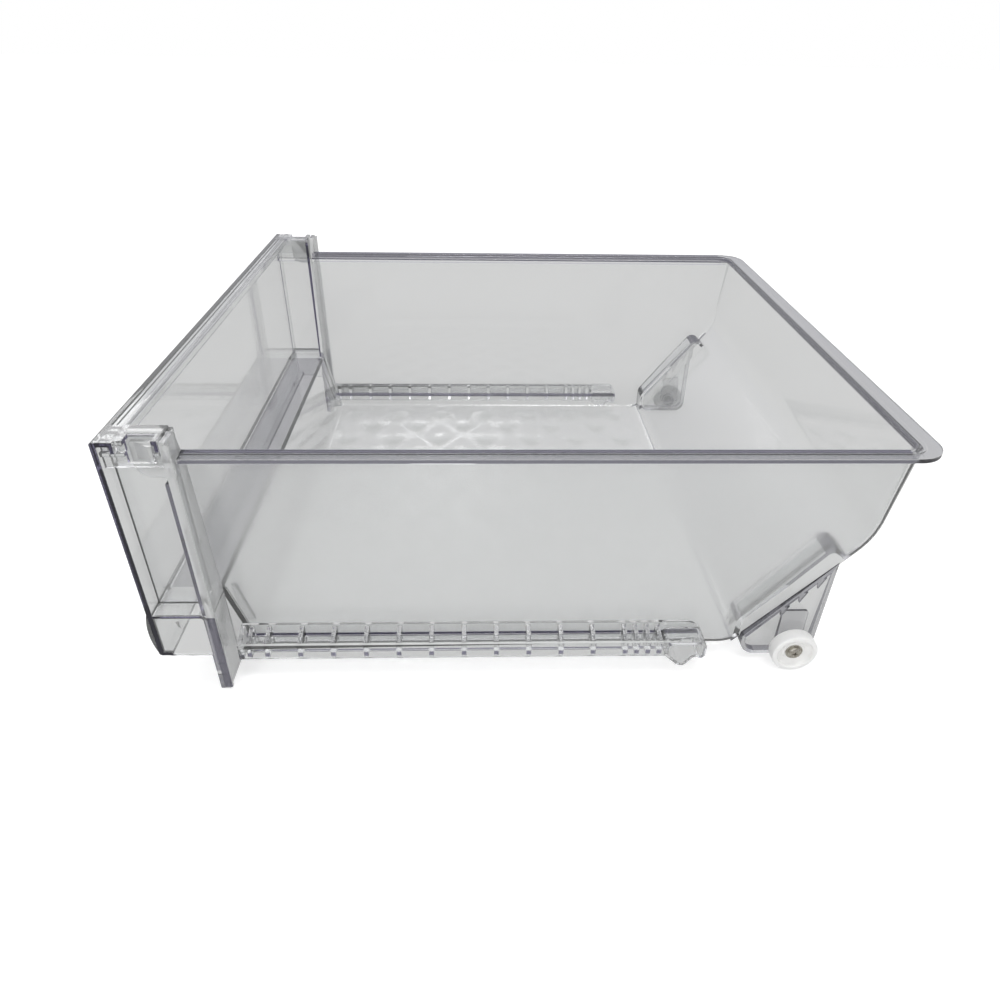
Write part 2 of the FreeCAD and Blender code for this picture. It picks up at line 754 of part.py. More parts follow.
def runner_flanges():
    """Inner flange against the wall, level web and outer flange of the runner."""
    low = RUNNER_Z[0]
    high = RUNNER_WALL_TOP_Z
    layer = [
        (wall_half(low), low, 0),
        (wall_half(low) + RUNNER_FLANGE_T, low, 0),
        (wall_half(high) + RUNNER_FLANGE_T, high, 0),
        (wall_half(high), high, 0),
    ]
    side = [
        (RUNNER_FRONT_Y, low, 0),
        (RUNNER_REAR_Y, low, 0),
        (RUNNER_REAR_Y, high, RUNNER_END_R),
        (RUNNER_FRONT_Y, high, 0),
    ]
    inner = front_slab(layer, RUNNER_FRONT_Y, RUNNER_REAR_Y).common(side_slab(side, 0, FAR))
    outer_x = RUNNER_OUT_X - RUNNER_FLANGE_T
    web_low, web_high = RUNNER_WEB_Z
    web = runner_strip(web_low, web_high, web_high, RUNNER_OUT_X - RUNNER_FLANGE_T / 2.0)
    return [
        inner,
        front_slab(web, RUNNER_FRONT_Y, LOOP_Y + LOOP_WALL),
        block((outer_x, RUNNER_OUT_X), (RUNNER_FRONT_Y, LOOP_Y + LOOP_WALL), RUNNER_Z),
    ]


def runner_ribs():
    """End plate, regular cross ribs and the close ribs near the detent loop."""
    low = RUNNER_Z[0] + RIB_INSET_Z
    at_wall = RUNNER_WALL_TOP_Z - RIB_INSET_Z
    high = RUNNER_Z[1] - RIB_INSET_Z
    reach = RUNNER_OUT_X - RUNNER_FLANGE_T / 2.0
    rib = runner_strip(low, at_wall, high, reach)
    end_plate = runner_strip(RUNNER_Z[0], RUNNER_WALL_TOP_Z, RUNNER_Z[1], reach)
    places = [FRONT_RIB_Y]
    places += [FIRST_RIB_Y + RIB_PITCH * i for i in range(RIB_COUNT)]
    places += [places[-1] + CLOSE_PITCH * (i + 1) for i in range(CLOSE_RIBS)]
    ribs = [front_slab(end_plate, RUNNER_FRONT_Y, RUNNER_FRONT_Y + RIB_T)]
    for y in places:
        ribs.append(front_slab(rib, y - RIB_T / 2.0, y + RIB_T / 2.0))
    return ribs


def detent_loop():
    """Springy hollow loop at the runner's rear end, which holds the drawer shut."""
    low, high = RUNNER_Z
    outline = [
        (LOOP_Y, high, LOOP_TOP_R),
        (LOOP_Y, low, LOOP_FRONT_R),
        LOOP_DIP,
        LOOP_CATCH,
        LOOP_HEEL,
        (RUNNER_REAR_Y, low, LOOP_REAR_R),
        (RUNNER_REAR_Y, high, LOOP_TOP_R),
    ]
    face = outline_face(outline, lambda a, b: V(0, a, b))
    ring = face.cut(face.makeOffset2D(-LOOP_WALL))
    ring = ring.extrude(V(RUNNER_OUT_X, 0, 0))
    return ring.cut(drafted_prism(0, 0, RIM_Z, 0, REAR_Y))


def runner():
    """Right-hand runner, a ladder-shaped rail along the foot of the tub's side."""
    return joined(runner_flanges() + runner_ribs() + [detent_loop()])


def turned(profile):
    """Solid turned about the roller's axle from a profile of (x, radius) points."""
    outline = outline_face(profile, lambda a, b: V(a, AXLE_Y, AXLE_Z + b))
    return outline.revolve(V(0, AXLE_Y, AXLE_Z), V(1, 0, 0), 360)


def roller():
    """Right-hand roller, dished on its outer face."""
    inner_x, outer_x = ROLLER_X
    profile = sharp([
        (inner_x, BORE_R),
        (inner_x, ROLLER_R - SMALL_BEVEL),
        (inner_x + SMALL_BEVEL, ROLLER_R),
        (outer_x - BIG_BEVEL, ROLLER_R),
        (outer_x, ROLLER_R - BIG_BEVEL),
        (outer_x, DISH_R),
        (outer_x - DISH_STEP, DISH_R - DISH_STEP / 2.0),
        (HUB_FACE_X, HUB_R),
        (HUB_FACE_X, BORE_R),
    ])
    return turned(profile)


def washer():
    """Right-hand washer between the screw head and the roller."""
    outer_x = SPIGOT_END_X + WASHER_T
    disc = rod(WASHER_R, SPIGOT_END_X, outer_x, AXLE_Y, AXLE_Z)
    return disc.cut(rod(PILOT_R, SPIGOT_END_X - SPARE, outer_x + SPARE, AXLE_Y, AXLE_Z))


def screw():
    """Right-hand pan head screw with a cross recess."""
    seat_x = SPIGOT_END_X + WASHER_T
    top_x = seat_x + HEAD_T
    profile = [
        (SCREW_TIP_X, 0),
        (SCREW_TIP_X, SCREW_R),
        (seat_x, SCREW_R),
        (seat_x, HEAD_R),
        (top_x - HEAD_DOME, HEAD_R),
        (top_x, HEAD_R - HEAD_DOME),
        (top_x, 0),
    ]
    whole = turned(sharp(profile))
    half = RECESS_W / 2.0
    long_half = RECESS_LENGTH / 2.0
    depth = (top_x - RECESS_DEEP, top_x + SPARE)
    across = block(depth, (AXLE_Y - long_half, AXLE_Y + long_half), (AXLE_Z - half, AXLE_Z + half))
    upright = block(depth, (AXLE_Y - half, AXLE_Y + half),
                    (AXLE_Z - long_half, AXLE_Z + long_half))
    return whole.cut(across).cut(upright)


def save(node, shape):
    """Move a piece into the drawer's own frame and write it as one STEP file."""
    middle_y = (REAR_Y - LIP_SWELL) / 2.0
    moved = shape.translated(V(0, -middle_y, 0))
    assert moved.isValid(), node
    moved.exportStep("parts/" + node + ".step")
    print(node, "solids", len(moved.Solids), "volume", round(moved.Volume))


def main():
    os.makedirs("parts", exist_ok=True)
    cover = front_cover()
    save("front_cover", cover)
    save("tub", tub())
    paired = {
        "cover_end": cover_end(cover),
        "wing": wing(),
        "runner": runner(),
        "roller": roller(),
        "roller_washer": washer(),
        "roller_screw": screw(),
    }
    for name, shape in paired.items():
        save("right_" + name, shape)
        save("left_" + name, mirrored(shape))


main()
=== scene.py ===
"""Clear crisper drawer: finished surfaces, quilted floor, rollers, screws and the studio."""

import math

import bpy
from bpy.props import FloatProperty, FloatVectorProperty, PointerProperty
from mathutils import Matrix, Vector
from mathutils.bvhtree import BVHTree


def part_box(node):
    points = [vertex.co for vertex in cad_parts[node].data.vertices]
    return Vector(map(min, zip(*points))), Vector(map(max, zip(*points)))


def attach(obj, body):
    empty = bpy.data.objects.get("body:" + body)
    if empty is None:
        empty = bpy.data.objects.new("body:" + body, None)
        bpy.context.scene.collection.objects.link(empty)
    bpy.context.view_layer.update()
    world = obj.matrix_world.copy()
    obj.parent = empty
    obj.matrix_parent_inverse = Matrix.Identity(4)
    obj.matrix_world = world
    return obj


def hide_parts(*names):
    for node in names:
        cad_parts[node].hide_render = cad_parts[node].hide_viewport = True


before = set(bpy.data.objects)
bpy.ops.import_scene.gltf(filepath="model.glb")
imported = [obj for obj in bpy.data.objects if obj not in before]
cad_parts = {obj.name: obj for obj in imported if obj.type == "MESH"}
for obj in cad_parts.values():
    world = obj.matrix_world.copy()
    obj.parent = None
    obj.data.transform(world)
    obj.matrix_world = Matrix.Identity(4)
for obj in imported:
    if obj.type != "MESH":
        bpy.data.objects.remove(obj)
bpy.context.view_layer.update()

bl_info = {
    "name": "Crisper Drawer",
    "version": (1, 0, 0),
    "blender": (4, 5, 0),
    "location": "View3D > Sidebar > Crisper",
    "description": "Builds the visible pieces of a clear refrigerator crisper drawer",
    "category": "Add Mesh",
}

MM = 0.001
SENSOR_MM = 36.0
WELD = 0.002 * MM
CLEARANCE = 0.01 * MM
SEAT_GAP = 0.03 * MM
FLAT_ANGLE = math.radians(0.4)
SHARP_ANGLE = math.radians(30.0)
SMOOTH_ANGLE = math.radians(28.0)
QUILT_CUTS = 6
PROBES = 6
FLAT_WEIGHT = 100
FLOOR_SIZE = 12.0
NEAREST = 10.0 * MM
HORIZON_TOP = 0.38
CEILING_FOOT = 0.62

# Slopes of faces, as a share of a normal along an axis
LEVEL = 0.999
NEARLY_LEVEL = 0.95
WALL_LEAN = 0.9
RIB_SLOPE = 0.85
FLANGE_SLOPE = 0.7
SQUARE_TO_WALL = 0.5
NEARLY_UPRIGHT = 0.3
CORNER_LEAN = 0.15
RIB_LEAN = 0.1

# Places that tell the parts of the mouldings apart, in the drawer's frame
LEG_TOP = 54.0 * MM
WING_X = 164.5 * MM
WING_BACK_Y = -160.0 * MM
RIM_FOOT = 142.0 * MM
LEDGE_TOP = 143.0 * MM
BEAD_FOOT = 146.0 * MM
RIM_BEND_Y = 181.8 * MM
SIDE_WALL_X = 140.0 * MM
CORNER_X = 145.0 * MM
BRACKET_FRONT_Y = 120.0 * MM
BRACKET_TOP = 80.0 * MM
BRACKET_FACE_X = 161.0 * MM
GUSSET_FOOT = 40.0 * MM
COVER_END_X = 182.0 * MM
COVER_FLANGE_X = 181.0 * MM
SHELF_LIMIT = 70.0 * MM
LIP_BACK_Y = -198.7 * MM
RUNNER_INNER_X = 160.0 * MM
RUNNER_WEB_Z = 19.5 * MM
RUNNER_FLANGE_X = 170.0 * MM
FLOOR_LIMIT = 20.0 * MM

# Areas in square metres that tell large faces from small ones
FLOOR_AREA = 0.04
SHELF_AREA = 0.002
RIB_AREA = 0.00015

# Shares of the edge colour on the parts that show it. On deep plastic, the lip and the cover
# flanges it is partly the plastic's tint through its depth and partly painted shade. On the
# wings, bracket ribs, bracket faces, gussets, shelf and runner rib tops it is painted shade.
THICK_TINT_AND_SHADE = 0.3
LEG_DEPTH_TINT_AND_SHADE = 0.9
BRACKET_DEPTH_TINT_AND_SHADE = 0.8
WING_SHADE = 0.1
BRACKET_RIB_SHADE = 0.75
BRACKET_SHADE = 0.4
GUSSET_SHADE = 0.7
SHELF_SHADE = 0.55
LIP_TINT_AND_SHADE = 0.25
COVER_FLANGE_TINT_AND_SHADE = 0.35
RUNNER_RIB_SHADE = 0.35

# Shares of the rim's painted shade on its outer flange, its side strips and its upright faces
RIM_FLANGE_SHARE = 0.45
RIM_STRIP_SHARE = 0.7
RIM_SIDE_SHARE = 0.8

# Added cloud on the parts that show it
WING_CLOUD = 0.25
CORNER_CLOUD = 0.8
RUNNER_CLOUD = 0.7
RUNNER_HAZE_SHARE = 0.5


class PlasticSizes(bpy.types.PropertyGroup):
    """Colours and finish of the clear mouldings."""
    wall_colour: FloatVectorProperty(
        name="Wall colour", description="Colour of light that passes a clear wall",
        default=(0.955, 0.96, 0.96), size=3, subtype="COLOR", min=0.0, max=1.0)
    # Colour that the edge mark paints. On deep plastic it is partly the plastic's tint through
    # its depth and partly painted shade of the dark room. On the rim, shelf, wings, brackets and
    # runner ribs it is painted shade.
    edge_and_shade_colour: FloatVectorProperty(
        name="Edge colour", description="Colour of the narrow cut edges",
        default=(0.035, 0.03, 0.07), size=3, subtype="COLOR", min=0.0, max=1.0)
    haze_colour: FloatVectorProperty(
        name="Haze colour", description="Colour that the clouded plastic scatters",
        default=(0.74, 0.75, 0.74), size=3, subtype="COLOR", min=0.0, max=1.0)
    haze: FloatProperty(
        name="Haze", description="Share of light that the plastic scatters",
        default=0.2, min=0.0, max=1.0, subtype="FACTOR")
    roughness: FloatProperty(
        name="Roughness", description="Roughness of the polished faces",
        default=0.03, min=0.0, max=1.0, subtype="FACTOR")
    grain: FloatProperty(
        name="Grain", description="Roughness of the grained outer faces of the side walls",
        default=0.2, min=0.0, max=1.0, subtype="FACTOR")
    # How much of the edge colour is painted on the rim as painted shade.
    rim_shade: FloatProperty(
        name="Rim tint", description="How much of the edge colour the rim's top shows",
        default=0.96, min=0.0, max=1.0, subtype="FACTOR")
    soft_edge: FloatProperty(
        name="Soft edge", description="Rounding of the mouldings' sharp edges",
        default=0.25 * MM, min=0.0, unit="LENGTH")


class FloorSizes(bpy.types.PropertyGroup):
    """Quilted relief of the tub's floor."""
    pitch_across: FloatProperty(
        name="Pitch across", description="Distance between pillows across the drawer",
        default=48.0 * MM, min=5.0 * MM, unit="LENGTH")
    pitch_deep: FloatProperty(
        name="Pitch deep", description="Distance between pillows from front to rear",
        default=40.0 * MM, min=5.0 * MM, unit="LENGTH")
    relief: FloatProperty(
        name="Relief", description="Height of a pillow above the seams",
        default=1.5 * MM, min=0.0, unit="LENGTH")
    border: FloatProperty(
        name="Border", description="Width of the flat border round the pillows",
        default=6.0 * MM, min=0.1 * MM, unit="LENGTH")


class StageSizes(bpy.types.PropertyGroup):
    """Camera and light of the studio."""
    lens: FloatProperty(
        name="Lens", description="Focal length on a 36 mm sensor, in millimetres",
        default=26.27, min=5.0)
    eye: FloatVectorProperty(
        name="Eye", description="Place of the camera", default=(0.46855, -0.02732, 0.31903),
        size=3, subtype="XYZ", unit="LENGTH")
    yaw: FloatProperty(
        name="Yaw", description="Turn of the view from the drawer's cross axis",
        default=0.038, subtype="ANGLE")
    pitch: FloatProperty(
        name="Pitch", description="How far the view looks down", default=0.589, subtype="ANGLE")
    roll: FloatProperty(
        name="Roll", description="Roll of the camera about its view", default=0.019,
        subtype="ANGLE")
    room_light: FloatProperty(
        name="Room light", description="Strength of the light that comes from all round",
        default=0.72, min=0.0)
    seen_through: FloatProperty(
        name="Seen through", description="Brightness of the room in and through the plastic",
        default=1.0, min=0.0)
    horizon: FloatVectorProperty(
        name="Horizon", description="Colour of the room's walls, as the plastic shows them",
        default=(0.56, 0.56, 0.61), size=3, subtype="COLOR", min=0.0, max=1.0)
    ceiling: FloatVectorProperty(
        name="Ceiling", description="Colour of the room's ceiling, as the plastic shows it",
        default=(0.97, 0.98, 1.0), size=3, subtype="COLOR", min=0.0, max=1.0)
    floor_colour: FloatVectorProperty(
        name="Floor colour", description="Colour of the floor",
        default=(0.72, 0.72, 0.72), size=3, subtype="COLOR", min=0.0, max=1.0)
    floor_glow: FloatProperty(
        name="Floor glow", description="Light added to the floor that the camera sees",
        default=0.55, min=0.0)
    floor_seen: FloatProperty(
        name="Floor seen through", description="Brightness of the floor behind the plastic",
        default=0.68, min=0.0)
    floor_even: FloatProperty(
        name="Floor evenness", description="How even the floor is behind the plastic",
        default=0.7, min=0.0, max=1.0, subtype="FACTOR")


class Wire:
    """An output of a node. Ordinary arithmetic on it adds Math nodes."""

    def __init__(self, board, socket):
        self.board = board
        self.socket = socket

    def __add__(self, other):
        return self.board.math("ADD", self, other)

    __radd__ = __add__

    def __sub__(self, other):
        return self.board.math("SUBTRACT", self, other)

    def __rsub__(self, other):
        return self.board.math("SUBTRACT", other, self)

    def __mul__(self, other):
        return self.board.math("MULTIPLY", self, other)

    __rmul__ = __mul__

    def __abs__(self):
        return self.board.math("ABSOLUTE", self)


class Board:
    """The node tree of one material or of the world."""

    def __init__(self, owner):
        self.owner = owner
        owner.use_nodes = True
        self.tree = owner.node_tree
        self.tree.nodes.clear()

    def node(self, kind, settings=None, inputs=None, output=0):
        """A new node with its settings and inputs; returns one of its outputs as a wire."""
        made = self.tree.nodes.new(kind)
        for name, value in (settings or {}).items():
            setattr(made, name, value)
        for name, value in (inputs or {}).items():
            socket = made.inputs[name]
            if isinstance(value, Wire):
                self.tree.links.new(value.socket, socket)
            else:
                socket.default_value = value
        return Wire(self, made.outputs[output])

    def math(self, operation, *values):
        """A Math node on one value or two."""
        inputs = dict(enumerate(values))
        return self.node("ShaderNodeMath", {"operation": operation}, inputs)

    def mix(self, factor, first, second):
        """Blend of two colours."""
        return self.node("ShaderNodeMix", {"data_type": "RGBA"},
                         {0: factor, 6: first, 7: second}, output=2)

    def between(self, value, low, high):
        """0 below low, 1 above high and a smooth step in between."""
        return self.node("ShaderNodeMapRange", {"interpolation_type": "SMOOTHSTEP"},
                         {"Value": value, "From Min": low, "From Max": high})

    def mark(self, name):
        """The value of a face attribute."""
        return self.node("ShaderNodeAttribute", {"attribute_name": name}, output="Fac")

    def noise(self, scale, detail):
        """Noise in the drawer's own frame, with its scale per metre."""
        place = self.node("ShaderNodeTexCoord", output="Object")
        return self.node("ShaderNodeTexNoise",
                         inputs={"Vector": place, "Scale": scale, "Detail": detail})

    def bump(self, height, strength, distance):
        """A normal that a height tilts."""
        return self.node("ShaderNodeBump", inputs={
            "Height": height, "Strength": strength, "Distance": distance})

    def finish(self, wire, kind="ShaderNodeOutputMaterial"):
        """Links the last shader to the output; returns the material or world."""
        output = self.tree.nodes.new(kind)
        self.tree.links.new(wire.socket, output.inputs["Surface"])
        return self.owner


def rgba(colour):
    """Four numbers from a colour of three."""
    return (colour[0], colour[1], colour[2], 1.0)


def new_board(name):
    """The board of a new material."""
    return Board(bpy.data.materials.new(name))


def clear_plastic(name, sizes, haze, joint=None):
    """Clear moulded plastic with a slight cloud, dark cut edges and grained faces. The dark of
    the edges is partly the plastic's tint through its depth and partly painted shade, and the
    same edge colour is painted as shade on marked faces.

    A runner's plastic also has a line of painted shade along its inner flange, which starts at
    joint.
    """
    board = new_board(name)
    # The edge mark is partly the plastic's tint through its depth and partly painted shade. It
    # darkens the clear colour and the cloudy colour alike.
    edge = board.mark("depth_tint_and_shade")
    if joint is not None:
        edge = board.math("MAXIMUM", edge, painted_joint_shade(board, joint))
    inner_face = board.node("ShaderNodeNewGeometry", output="Backfacing")
    colour = board.mix(edge, rgba(sizes.wall_colour), rgba(sizes.edge_and_shade_colour))
    mottle = board.noise(60.0, 4.0)
    ripple = board.noise(9.0, 2.0)
    polish = sizes.roughness + board.mark("grain") * (sizes.grain - sizes.roughness)
    rough = polish * (0.7 + 0.6 * mottle)
    normal = board.bump(ripple + 0.15 * mottle, 0.25, 0.4 * MM)
    clear = board.node("ShaderNodeBsdfPrincipled", inputs={
        "Base Color": colour, "Roughness": rough, "IOR": 1.5,
        "Transmission Weight": 1.0, "Normal": normal})
    cloud_colour = board.mix(edge, rgba(sizes.haze_colour), rgba(sizes.edge_and_shade_colour))
    cloud = board.node("ShaderNodeBsdfPrincipled", inputs={
        "Base Color": cloud_colour, "Roughness": rough, "Normal": normal})
    share = (haze + board.mark("cloud")) * (0.85 + 0.3 * ripple) * (1.0 - inner_face)
    mixed = board.node("ShaderNodeMixShader", inputs={0: share, 1: clear, 2: cloud})
    return board.finish(mixed)


def painted_joint_shade(board, inner):
    """Painted shade: 1 along the line where a runner's web meets its inner flange, which is at
    inner.
    """
    deep = (0.6 * MM, 1.6 * MM)
    high = (1.2 * MM, 2.0 * MM)
    place = board.node("ShaderNodeTexCoord", output="Object")
    x = board.node("ShaderNodeSeparateXYZ", inputs={"Vector": place}, output="X")
    z = board.node("ShaderNodeSeparateXYZ", inputs={"Vector": place}, output="Z")
    beside = 1.0 - board.between(abs(x), inner + deep[0], inner + deep[1])
    level = 1.0 - board.between(abs(z - RUNNER_WEB_Z), *high)
    return beside * level


def white_plastic():
    """White roller plastic, a little worn and grey in patches."""
    board = new_board("white_roller_plastic")
    clean = rgba((0.96, 0.96, 0.95))
    worn = rgba((0.87, 0.86, 0.83))
    grime = board.noise(220.0, 5.0)
    wear = board.between(grime, 0.52, 0.72)
    colour = board.mix(wear * 0.5, clean, worn)
    fine = board.noise(1500.0, 2.0)
    normal = board.bump(fine, 0.15, 0.05 * MM)
    rough = 0.36 + 0.14 * grime
    paint = board.node("ShaderNodeBsdfPrincipled", inputs={
        "Base Color": colour, "Roughness": rough, "IOR": 1.48, "Normal": normal})
    return board.finish(paint)


def plated_steel():
    """Plated screw steel with a brownish grey tone and fine stains."""
    board = new_board("plated_steel")
    bright = rgba((0.50, 0.48, 0.43))
    dull = rgba((0.30, 0.27, 0.22))
    stain = board.noise(900.0, 4.0)
    colour = board.mix(board.between(stain, 0.4, 0.7), bright, dull)
    rough = 0.25 + 0.25 * stain
    normal = board.bump(stain, 0.2, 0.03 * MM)
    metal = board.node("ShaderNodeBsdfPrincipled", inputs={
        "Base Color": colour, "Metallic": 1.0, "Roughness": rough, "Normal": normal})
    return board.finish(metal)


def only(piece):
    """Selects one piece alone and makes it active."""
    bpy.ops.object.select_all(action="DESELECT")
    piece.select_set(True)
    bpy.context.view_layer.objects.active = piece


def select_all():
    """Selects all of the mesh in edit mode."""
    bpy.ops.mesh.select_all(action="SELECT")


def in_edit(*steps):
    """Runs edit mode operators, each a function, on the active piece."""
    bpy.ops.object.mode_set(mode="EDIT")
    bpy.ops.mesh.select_mode(type="FACE")
    for step in steps:
        step()
    bpy.ops.object.mode_set(mode="OBJECT")


def pick_faces(piece, wanted):
    """Leaves only the faces selected for which wanted(face) is true."""
    only(piece)
    in_edit(lambda: bpy.ops.mesh.select_all(action="DESELECT"))
    for face in piece.data.polygons:
        face.select = wanted(face)


def apply_modifier(piece, modifier):
    """Works a modifier into the piece's mesh."""
    only(piece)
    bpy.ops.object.modifier_apply(modifier=modifier.name)


def combine(piece, other, operation):
    """Adds another piece to this one, or cuts it out, and removes the other."""
    boolean = piece.modifiers.new("combine", "BOOLEAN")
    boolean.operation = operation
    boolean.solver = "EXACT"
    boolean.object = other
    apply_modifier(piece, boolean)
    bpy.data.objects.remove(other)


def rename(piece, name):
    """Gives a piece and its mesh one name."""
    piece.name = name
    piece.data.name = name


def welded_copy(node):
    """Copy of a CAD node's mesh, with its loose triangles welded and its flats made whole."""
    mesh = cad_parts[node].data.copy()
    mesh.materials.clear()
    piece = bpy.data.objects.new(node + "_copy", mesh)
    bpy.context.scene.collection.objects.link(piece)
    only(piece)
    in_edit(
        select_all,
        lambda: bpy.ops.mesh.remove_doubles(threshold=WELD),
        lambda: bpy.ops.mesh.customdata_custom_splitnormals_clear(),
        lambda: bpy.ops.mesh.dissolve_limited(angle_limit=FLAT_ANGLE),
    )
    return piece


def moulding(name, nodes):
    """One moulding from copies of the CAD nodes that it is kept as."""
    piece = welded_copy(nodes[0])
    rename(piece, name)
    for node in nodes[1:]:
        combine(piece, welded_copy(node), "UNION")
    return piece


def in_own_box(piece, step):
    """Runs a step and moves the vertices that it pushed out of the piece's box back on to it."""
    corners = [vertex.co.copy() for vertex in piece.data.vertices]
    low = [min(corner[i] for corner in corners) for i in range(3)]
    high = [max(corner[i] for corner in corners) for i in range(3)]
    step()
    for vertex in piece.data.vertices:
        vertex.co = [min(max(vertex.co[i], low[i]), high[i]) for i in range(3)]


def soften(piece, width, above=None):
    """Rounds the sharp edges of a moulding, or those above a height, inside its old box."""
    bevel = piece.modifiers.new("soft_edges", "BEVEL")
    bevel.width = width
    bevel.segments = 2
    bevel.limit_method = "ANGLE"
    bevel.angle_limit = SHARP_ANGLE
    bevel.use_clamp_overlap = False
    if above is not None:
        weigh_edges(piece.data, above)
        bevel.limit_method = "WEIGHT"
    in_own_box(piece, lambda: apply_modifier(piece, bevel))


def weigh_edges(mesh, above):
    """Gives the long sharp edges above a height a bevel weight of 1."""
    shortest = 0.4 * MM
    normals = {}
    for face in mesh.polygons:
        for key in face.edge_keys:
            normals.setdefault(key, []).append(face.normal)
    weights = mesh.attributes.new("bevel_weight_edge", "FLOAT", "EDGE")
    for edge in mesh.edges:
        ends = [mesh.vertices[i].co for i in edge.vertices]
        beside = normals.get(tuple(sorted(edge.vertices)), [])
        high = min(end.z for end in ends) > above
        long_enough = (ends[0] - ends[1]).length > shortest
        if high and long_enough and len(beside) == 2:
            if beside[0].angle(beside[1], 0.0) > SHARP_ANGLE:
                weights.data[edge.index].value = 1.0


def breadth(mesh, face):
    """Width of a long face, from its area and the length of its outline."""
    corners = [mesh.vertices[i].co for i in face.vertices]
    around = sum((corners[i] - corners[i - 1]).length for i in range(len(corners)))
    return 2.0 * face.area / around


def draw_in(piece):
    """Draws the whole skin in a little, so that no face lies in a neighbour's face."""
    only(piece)
    in_own_box(piece, lambda: in_edit(
        select_all, lambda: bpy.ops.transform.shrink_fatten(value=-SEAT_GAP)))


def face_marks(mesh, name):
    """The values of a face attribute, which is added if it isn't there yet."""
    if name not in mesh.attributes:
        mesh.attributes.new(name, "FLOAT", "FACE")
    return mesh.attributes[name].data


def mark(piece, name, value, wanted):
    """Raises a face attribute to a value on the faces for which wanted(face) is true."""
    marks = face_marks(piece.data, name)
    for face in piece.data.polygons:
        if wanted(face):
            marks[face.index].value = max(marks[face.index].value, value)


def lighten(piece, name, value, wanted):
    """Lowers a face attribute to a value on the faces for which wanted(face) is true."""
    marks = face_marks(piece.data, name)
    for face in piece.data.polygons:
        if wanted(face):
            marks[face.index].value = min(marks[face.index].value, value)


def split_faces(piece, place, normal, wanted):
    """Cuts the faces for which wanted(face) is true along a plane."""
    pick_faces(piece, wanted)
    in_edit(lambda: bpy.ops.mesh.bisect(plane_co=place, plane_no=normal))


def mark_depth(piece, clear, full, narrow, most=1.0, wanted=None, rank=0.0):
    """Raises the edge mark on faces that have deep plastic behind them, as cut edges have. That
    darkening is partly the plastic's tint through its depth and partly painted shade.

    It rises from 0 at the depth clear to most at the depth full, on faces that are wider than
    narrow. A rank of 0 takes the least depth behind a face, and 1 the greatest.
    """
    mesh = piece.data
    mesh.calc_loop_triangles()
    places = [vertex.co.copy() for vertex in mesh.vertices]
    triangles = [tuple(triangle.vertices) for triangle in mesh.loop_triangles]
    tree = BVHTree.FromPolygons(places, triangles)
    probes = {}
    for triangle in mesh.loop_triangles:
        middle = sum((places[i] for i in triangle.vertices), Vector()) / 3.0
        probes.setdefault(triangle.polygon_index, []).append((triangle.area, tuple(middle)))
    marks = face_marks(mesh, "depth_tint_and_shade")
    for face in mesh.polygons:
        if face.index not in probes or breadth(mesh, face) < narrow:
            continue
        if wanted is not None and not wanted(face):
            continue
        largest = sorted(probes[face.index], reverse=True)[:PROBES]
        starts = [Vector(middle) - face.normal * CLEARANCE for _, middle in largest]
        depths = sorted(tree.ray_cast(start, -face.normal)[3] or 0.0 for start in starts)
        depth = depths[int(rank * (len(depths) - 1))]
        share = min(max((depth - clear) / (full - clear), 0.0), 1.0)
        value = most * share * share * (3.0 - 2.0 * share)
        marks[face.index].value = max(marks[face.index].value, value)


def outward(face):
    """How far a face looks away from the drawer's middle plane."""
    return face.normal.x * math.copysign(1.0, face.center.x)


def on_wing(face):
    """True on the wings, which reach out from the tub's front corners."""
    return abs(face.center.x) > WING_X and face.center.y < WING_BACK_Y


def on_bracket(face):
    """True round the roller brackets."""
    return face.center.y > BRACKET_FRONT_Y and face.center.z < BRACKET_TOP


def on_leg(face):
    """True on the wings' parts below the shelf, which end in the legs."""
    return on_wing(face) and face.center.z < LEG_TOP


def on_rim_top(face):
    """True on the level faces of the rim."""
    level = face.normal.z > NEARLY_LEVEL
    return level and face.center.z > RIM_FOOT and not on_wing(face)


def on_rim_ledge(face):
    """True on the rim's lowest step, next to the tub's wall."""
    return on_rim_top(face) and face.center.z < LEDGE_TOP


def on_side_rim(face):
    """True on the level faces of the rim along the two sides."""
    return on_rim_top(face) and face.center.y < RIM_BEND_Y


def on_side_bead(face):
    """True on the rim's highest step along the two sides."""
    return on_side_rim(face) and face.center.z > BEAD_FOOT


def on_rim_side(face):
    """True on the upright faces of the rim."""
    upright = abs(face.normal.z) < NEARLY_UPRIGHT
    return upright and face.center.z > RIM_FOOT and not on_wing(face)


def on_cover_end(face):
    """True on the cover's cut ends."""
    return outward(face) > LEVEL and abs(face.center.x) > COVER_END_X


def on_cover_edge(face):
    """True on the cover's cut ends below the shelf."""
    return on_cover_end(face) and face.center.z < LEG_TOP


def on_lip_edge(face):
    """True on the part of the cover's cut ends that the lip pushes forward."""
    return on_cover_edge(face) and face.center.y < LIP_BACK_Y


def on_side_wall(face):
    """True on the outer faces of the side walls."""
    return outward(face) > WALL_LEAN and SIDE_WALL_X < abs(face.center.x) < WING_X


def on_outer_corner(face):
    """True on the rounding between a side wall and the floor, the slope or the rear wall."""
    rounded = CORNER_LEAN < outward(face) < WALL_LEAN
    return rounded and CORNER_X < abs(face.center.x) < WING_X


def on_cover_flange(face):
    """True on the ends of the cover's rear flanges."""
    return outward(face) > LEVEL and COVER_FLANGE_X < abs(face.center.x) < COVER_END_X


def on_bracket_rib(face):
    """True on the small faces of a roller bracket that stand square to the side wall."""
    square = abs(face.normal.x) < SQUARE_TO_WALL
    return square and on_bracket(face) and face.area < RIB_AREA


def on_bracket_face(face):
    """True on the raised outer faces of a bracket's flange, pad and gussets."""
    raised = outward(face) > LEVEL and abs(face.center.x) > BRACKET_FACE_X
    return raised and on_bracket(face)


